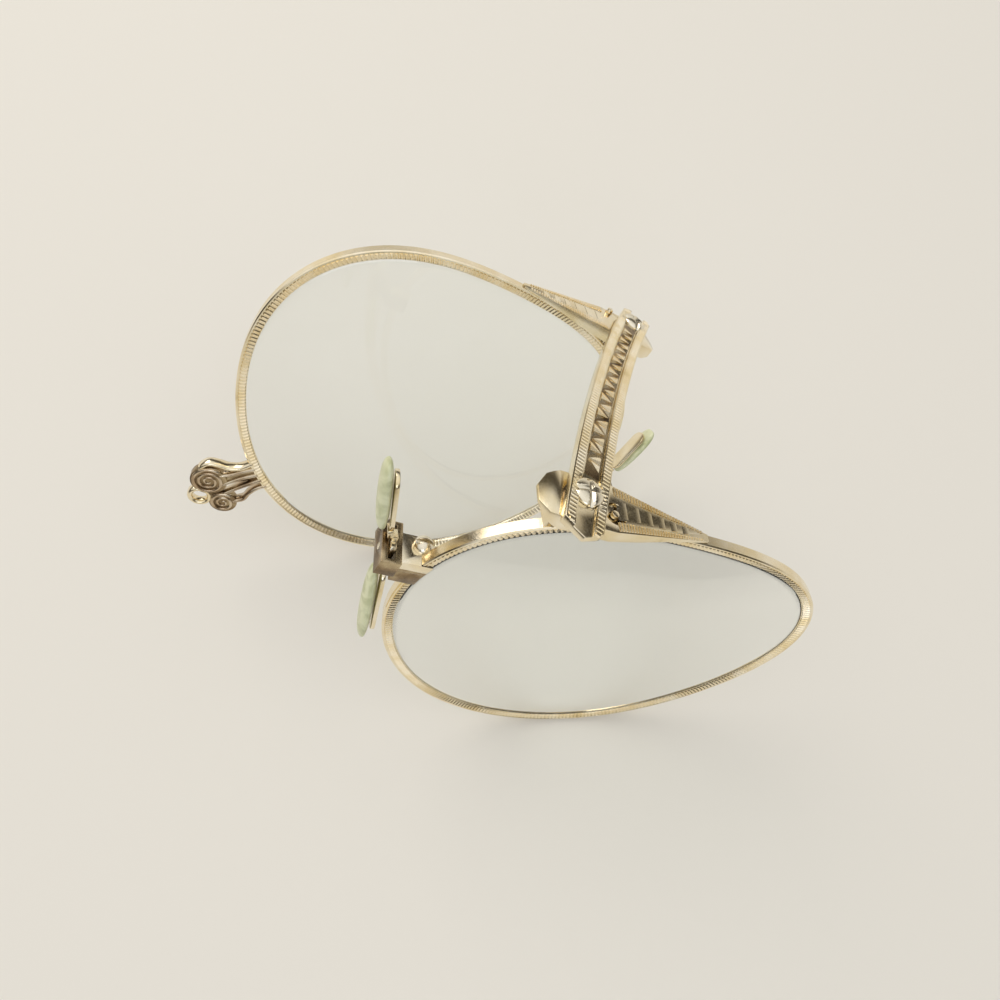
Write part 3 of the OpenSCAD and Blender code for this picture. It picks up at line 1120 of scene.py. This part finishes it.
@dataclass
class GuardRocker:
    """The rocking leaf of one nose guard with its two pads.

    The guards sit at different heights, so each side has its own angle round the rim.
    """

    dresser: Dresser
    side: Side
    left_angle: float = 160.0
    right_angle: float = 177.0
    rim_width: float = 1.0
    pin_out: float = 2.7
    pin_back: float = 1.0
    pin_down: float = 1.1
    rock: float = 16.0
    pad_wide: float = 2.8
    pad_thick: float = 1.0
    mount_thick: float = 0.35
    glue: float = 0.02

    @property
    def body(self) -> str:
        """Name of the body that the rocking pieces move with."""
        return f"{self.side.value}_guard_rocker"

    def build(self) -> None:
        """Builds the leaf, the pad mounts and the pads."""
        finishes = self.dresser.finishes
        for name in ("guard_leaf", "upper_pad_mount", "lower_pad_mount"):
            node = f"{self.side.value}_{name}"
            piece = Bench.softened(node, 0.06)
            self.dresser.dress(piece, finishes.gold, self.body, Slot.GOLD, node)
        self.pad("upper_pad", lean=15.0, way=1, start=2.2, long=6.5)
        self.pad("lower_pad", lean=11.0, way=-1, start=1.9, long=8.3)

    def pad_frame(self, lean: float) -> Matrix:
        """Turns the frame of a pad's arm, with the pin at its middle, into the row's frame.

        Args:
            lean: Lean of the arm, in degrees.

        Returns:
            The matrix, in millimetres.
        """
        angle = self.left_angle if self.side is Side.LEFT else self.right_angle
        out, up = LAYOUT.outline(angle, self.rim_width)
        spot = Matrix.Translation((out - self.pin_out, self.pin_back, up - self.pin_down))
        rocked = Matrix.Rotation(math.radians(-self.rock), 4, "X")
        leant = Matrix.Rotation(math.radians(-lean), 4, "Y")
        return LAYOUT.unit(self.side) @ spot @ rocked @ leant

    def pad(self, name: str, lean: float, way: int, start: float, long: float) -> None:
        """Crowned pad that narrows a little towards the pin.

        Args:
            name: Name of the pad's solid, without its side.
            lean: Lean of the pad's arm, in degrees.
            way: 1 for the pad above the pin, -1 for the one below.
            start: Distance of the pad from the pin.
            long: Length of the pad.
        """
        arm = self.pad_frame(lean)
        offset = -(self.mount_thick + self.pad_thick) / 2 - self.glue
        flat_side, crowned_side, blunt, full, narrow = 0.46, 0.68, 0.9, 0.6, 0.14
        Bench.deselect()
        bpy.ops.mesh.primitive_uv_sphere_add(segments=64, ring_count=48, radius=1)
        piece = bpy.context.object
        piece.name = f"{self.side.value}_{name}_dressed"

        def crowned(co: Vector) -> Vector:
            """Presses a point of the ball into the pad.

            Args:
                co: The point on the ball of radius 1.

            Returns:
                The point in the row's frame.
            """
            along = math.copysign(abs(co.z) ** blunt, co.z)
            ring = max(math.hypot(co.x, co.y), 1e-6)
            swell = ring**full / ring
            side = flat_side if co.x > 0 else crowned_side
            thick = co.x * swell * self.pad_thick * side
            wide = co.y * swell * (1 - narrow + narrow * along) * self.pad_wide / 2
            high = way * (start + long / 2 + along * long / 2)
            return (arm @ Vector((offset + thick, wide, high))) * MM

        Bench.shape(piece, crowned)
        Bench.outward(piece)
        Bench.smooth(piece, 60)
        self.dresser.dress(piece, self.dresser.finishes.shell, self.body, Slot.SHELL,
                           f"{self.side.value}_{name}")


@dataclass
class Handle:
    """Openwork handle: two scrolls, bars that flare to the rim, and the cord eye.

    Each path gives points in the lens unit's X and Z, from the tip to the rim.
    """

    dresser: Dresser
    half: float = 0.6
    web_half: float = 0.3
    big_scroll: tuple[float, float] = (31.5, -37.5)
    small_scroll: tuple[float, float] = (29.2, -40.1)
    eye: tuple[float, float] = (31.75, -40.2)
    eye_r: float = 1.06
    eye_wire: float = 0.3
    ridge: float = 0.22
    top_edge: Path = ((32.9, -36.1), (32.2, -35.1), (31.2, -34.9), (30.0, -34.9), (28.9, -34.4),
                      (27.9, -33.2))
    flute_a: Path = ((30.6, -36.3), (29.6, -35.7), (28.6, -34.8), (27.5, -33.9))
    flute_b: Path = ((30.4, -38.0), (29.5, -37.0), (28.4, -35.8), (27.0, -34.6))
    flute_c: Path = ((29.6, -39.0), (28.6, -37.7), (27.5, -36.4), (26.4, -35.2))
    lower_edge: Path = ((28.2, -39.6), (27.3, -38.8), (27.0, -37.7), (26.4, -36.6), (25.6, -35.8))
    web: Path = ((30.3, -37.3), (29.2, -36.2), (28.2, -35.2), (27.2, -34.3))
    neck: Path = ((31.0, -38.9), (30.6, -39.4), (29.9, -39.4), (29.3, -39.2))

    def build(self) -> None:
        """Builds the bars, the scrolls and the eye."""
        finishes = self.dresser.finishes
        self.bar("handle_top_edge", self.top_edge, 0.3, 0.32, finishes.gold, "handle")
        for name, path in (("a", self.flute_a), ("b", self.flute_b), ("c", self.flute_c)):
            self.bar(f"handle_flute_{name}", path, 0.22, 0.3, finishes.aged)
        self.bar("handle_lower_edge", self.lower_edge, 0.3, 0.26, finishes.aged)
        # The web and the neck take the dark gold: painted shade between the handle's bars.
        self.bar("handle_web", self.web, 0.5, 1.35, finishes.dark)
        self.bar("handle_neck", self.neck, 0.34, 0.34, finishes.dark)
        self.disc("handle_big_disc", self.big_scroll, 1.95)
        self.disc("handle_small_disc", self.small_scroll, 1.5)
        for face in Face:
            self.scroll(f"big_scroll_{face.label}", self.big_scroll, 1.8, 2.8, face)
            self.scroll(f"small_scroll_{face.label}", self.small_scroll, 1.35, 2.2, face)
        self.lip()

    def finish(self, piece: bpy.types.Object, metal: bpy.types.Material, *nodes: str) -> None:
        """Gives a piece of the handle its metal and body."""
        self.dresser.dress(piece, metal, "right_lens_unit", Slot.GOLD, *nodes)

    @staticmethod
    def squared(turn: float) -> float:
        """Height round a section that is flatter at its front and back than a circle."""
        return math.copysign(abs(math.sin(turn)) ** 0.6, math.sin(turn))

    def bar(self, name: str, path: Path, thin: float, thick: float, metal: bpy.types.Material,
            *nodes: str) -> None:
        """Rounded bar along a smooth path, or a thinner web where it is broad.

        Args:
            name: Name of the piece.
            path: Points that the bar follows.
            thin: Half width at the tip.
            thick: Half width at the rim.
            metal: Material of the bar.
            nodes: Plain solids that it stands for.
        """
        place = LAYOUT.unit_place(Side.RIGHT)
        points = [Vector(p) for p in path]
        points = [2 * points[0] - points[1], *points, 2 * points[-1] - points[-2]]
        tip_share, tip_width, broad, ahead_share = 0.04, 0.6, 0.5, 0.01

        def middle(share: float) -> Vector:
            """Smooth curve through the path's points.

            Args:
                share: Share of the way along the path.

            Returns:
                X and Z in the lens unit's frame.
            """
            step = min(max(share, 0.0), 1.0) * (len(points) - 3)
            k = min(int(step), len(points) - 4)
            t = step - k
            a, b, c, d = points[k:k + 4]
            return 0.5 * (2 * b + (c - a) * t + (2 * a - 5 * b + 4 * c - d) * t**2
                          + (3 * b - a - 3 * c + d) * t**3)

        def spot(along: float, around: float) -> Vector:
            """Point of the bar.

            Args:
                along: Share of the way along the path.
                around: Share of the way round the section.

            Returns:
                The point in the row's frame.
            """
            turn = math.tau * around
            ahead = (middle(along + ahead_share) - middle(along - ahead_share)).normalized()
            half = thin + (thick - thin) * along
            if along < tip_share:
                half *= tip_width
            flat = middle(along) + Vector((-ahead.y, ahead.x)) * half * math.cos(turn)
            deep = self.half if half < broad else self.web_half
            return place(flat.x, deep * self.squared(turn), flat.y)

        self.finish(Bench.sweep(name, 36, 16, spot), metal, *nodes)

    def disc(self, name: str, middle: tuple[float, float], radius: float) -> None:
        """Round ground of a scroll, made in millimetres and then put in place.

        Args:
            name: Name of the piece.
            middle: Middle of the scroll.
            radius: Radius of the ground.
        """
        place = LAYOUT.unit_place(Side.RIGHT)
        sunk, broken = 0.1, 0.1
        Bench.deselect()
        bpy.ops.mesh.primitive_cylinder_add(vertices=64, radius=radius,
                                            depth=2 * (self.half - sunk))
        piece = bpy.context.object
        piece.name = name
        Bench.break_edges(piece, broken, 3)
        Bench.shape(piece, lambda co: place(middle[0] + co.x, co.z, middle[1] + co.y))
        Bench.outward(piece)
        Bench.smooth(piece)
        # The ground under the scroll's ridge takes the dark gold: painted shade in the sunk middle.
        self.finish(piece, self.dresser.finishes.dark)

    def scroll(self, name: str, middle: tuple[float, float], radius: float, turns: float,
               face: Face) -> None:
        """Spiral ridge that winds into the middle of a scroll.

        Args:
            name: Name of the piece.
            middle: Middle of the scroll.
            radius: Radius at which the ridge starts.
            turns: Times that it goes round.
            face: The face of the handle that it stands on.
        """
        place = LAYOUT.unit_place(Side.RIGHT)
        start, wind, taper, sunk, low = math.radians(110), 0.9, 0.5, 0.1, 0.9

        def spot(along: float, around: float) -> Vector:
            """Point of the ridge.

            Args:
                along: Share of the way into the middle.
                around: Share of the way round the section.

            Returns:
                The point in the row's frame.
            """
            a = start - along * turns * math.tau
            thick = self.ridge * (1 - taper * along)
            turn = math.tau * around
            r = radius * (1 - wind * along) + thick * math.cos(turn)
            y = face.value * (self.half - sunk) + thick * low * math.sin(turn)
            return place(middle[0] + r * math.cos(a), y, middle[1] + r * math.sin(a))

        self.finish(Bench.sweep(name, 160, 10, spot), self.dresser.finishes.aged)

    def lip(self) -> None:
        """Rounded ring of the cord eye."""
        place = LAYOUT.unit_place(Side.RIGHT)
        corners, depth = 16, self.half * 0.9

        def spot(angle: float, corner: int) -> Vector:
            """Point of the ring.

            Args:
                angle: Direction round the eye, in degrees.
                corner: Number of the section's point.

            Returns:
                The point in the row's frame.
            """
            a = math.radians(angle)
            turn = math.tau * corner / corners
            r = self.eye_r + self.eye_wire * math.cos(turn)
            return place(self.eye[0] + r * math.cos(a), depth * self.squared(turn),
                         self.eye[1] + r * math.sin(a))

        self.finish(Bench.ring("handle_eye", 64, corners, spot), self.dresser.finishes.gold)


@dataclass
class Studio:
    """Floor, lights, world and the camera at the photograph's viewing angle."""

    finishes: Finishes
    floor_size: float = 30.0
    camera_at: tuple[float, float, float] = (14.366, 13.7502, 93.6389)
    camera_turn: tuple[tuple[float, float, float], ...] = ((-0.766514, -0.608688, 0.204831),
                                                           (0.641692, -0.738905, 0.205551),
                                                           (0.026234, 0.288996, 0.956971))

    def build(self) -> None:
        """Builds the stage."""
        self.floor()
        self.lights()
        self.world()
        self.camera()

    def floor(self) -> None:
        """Wide plain floor under the piece."""
        Bench.deselect()
        bpy.ops.mesh.primitive_plane_add(size=self.floor_size, location=(0, 0, 0))
        floor = bpy.context.object
        floor.name = "stage_floor"
        floor.data.materials.append(self.finishes.paper)

    def lamp(self, name: str, spot: tuple[float, float, float], size: float, watts: float,
             colour: str) -> None:
        """Square soft light that faces the piece.

        Args:
            name: Name of the lamp.
            spot: Its place, in metres.
            size: Its width, in metres.
            watts: Its power.
            colour: Its hex colour.
        """
        data = bpy.data.lights.new(name, "AREA")
        data.size = size
        data.energy = watts
        data.color = linear(colour)[:3]
        lamp = bpy.data.objects.new(name, data)
        bpy.context.scene.collection.objects.link(lamp)
        lamp.location = spot
        aim = Vector((0, 0, 0.02)) - Vector(spot)
        lamp.rotation_euler = aim.to_track_quat("-Z", "Y").to_euler()

    def lights(self) -> None:
        """Soft window light from the photograph's upper left, and a weaker fill."""
        self.lamp("window_light", (-0.05, -0.55, 0.5), size=0.5, watts=2.0, colour="#fff8ee")
        self.lamp("fill_light", (0.4, 0.45, 0.35), size=0.3, watts=0.5, colour="#e6efff")

    def world(self) -> None:
        """Pale room light with one dim band part way up, so that metal shows its form."""
        world = bpy.data.worlds.new("studio_world")
        bpy.context.scene.world = world
        world.use_nodes = True
        tree = world.node_tree
        back = tree.nodes["Background"]
        where = add_node(tree, "ShaderNodeTexCoord", {}, {}).outputs["Generated"]
        split = add_node(tree, "ShaderNodeSeparateXYZ", {}, {"Vector": where})
        tone = add_node(tree, "ShaderNodeValToRGB", {}, {"Fac": split.outputs["Z"]})
        colour_ramp(tone, [(0.0, "#d2cdc3"), (0.08, "#a39d93"), (0.2, "#3a362f"), (0.42, "#4a4640"),
                           (0.6, "#e4e3e0"), (1.0, "#ffffff")])
        tree.links.new(tone.outputs["Color"], back.inputs["Color"])
        back.inputs["Strength"].default_value = 1.0

    def camera(self) -> None:
        """Camera fitted to the photograph: 27 mm on a 36 mm wide sensor, no shift."""
        data = bpy.data.cameras.new("photo_camera")
        data.lens = 27
        data.sensor_width = 36
        data.clip_start = 0.001
        data.clip_end = 10
        camera = bpy.data.objects.new("photo_camera", data)
        bpy.context.scene.collection.objects.link(camera)
        turn = Matrix(self.camera_turn).to_4x4()
        camera.matrix_world = Matrix.Translation(Vector(self.camera_at) * MM) @ turn
        bpy.context.scene.camera = camera


def main() -> None:
    """Builds the stage and every sub-assembly in order."""
    logging.basicConfig(level=logging.INFO, format="%(name)s: %(message)s")
    finishes = Finishes()
    Studio(finishes).build()
    dresser = Dresser(finishes)
    Bridge(dresser).build()
    for side in Side:
        LensUnit(dresser, side).build()
        GuardRocker(dresser, side).build()
    Handle(dresser).build()
    bpy.context.scene.view_settings.view_transform = "Standard"


if __name__ == "__main__":
    main()
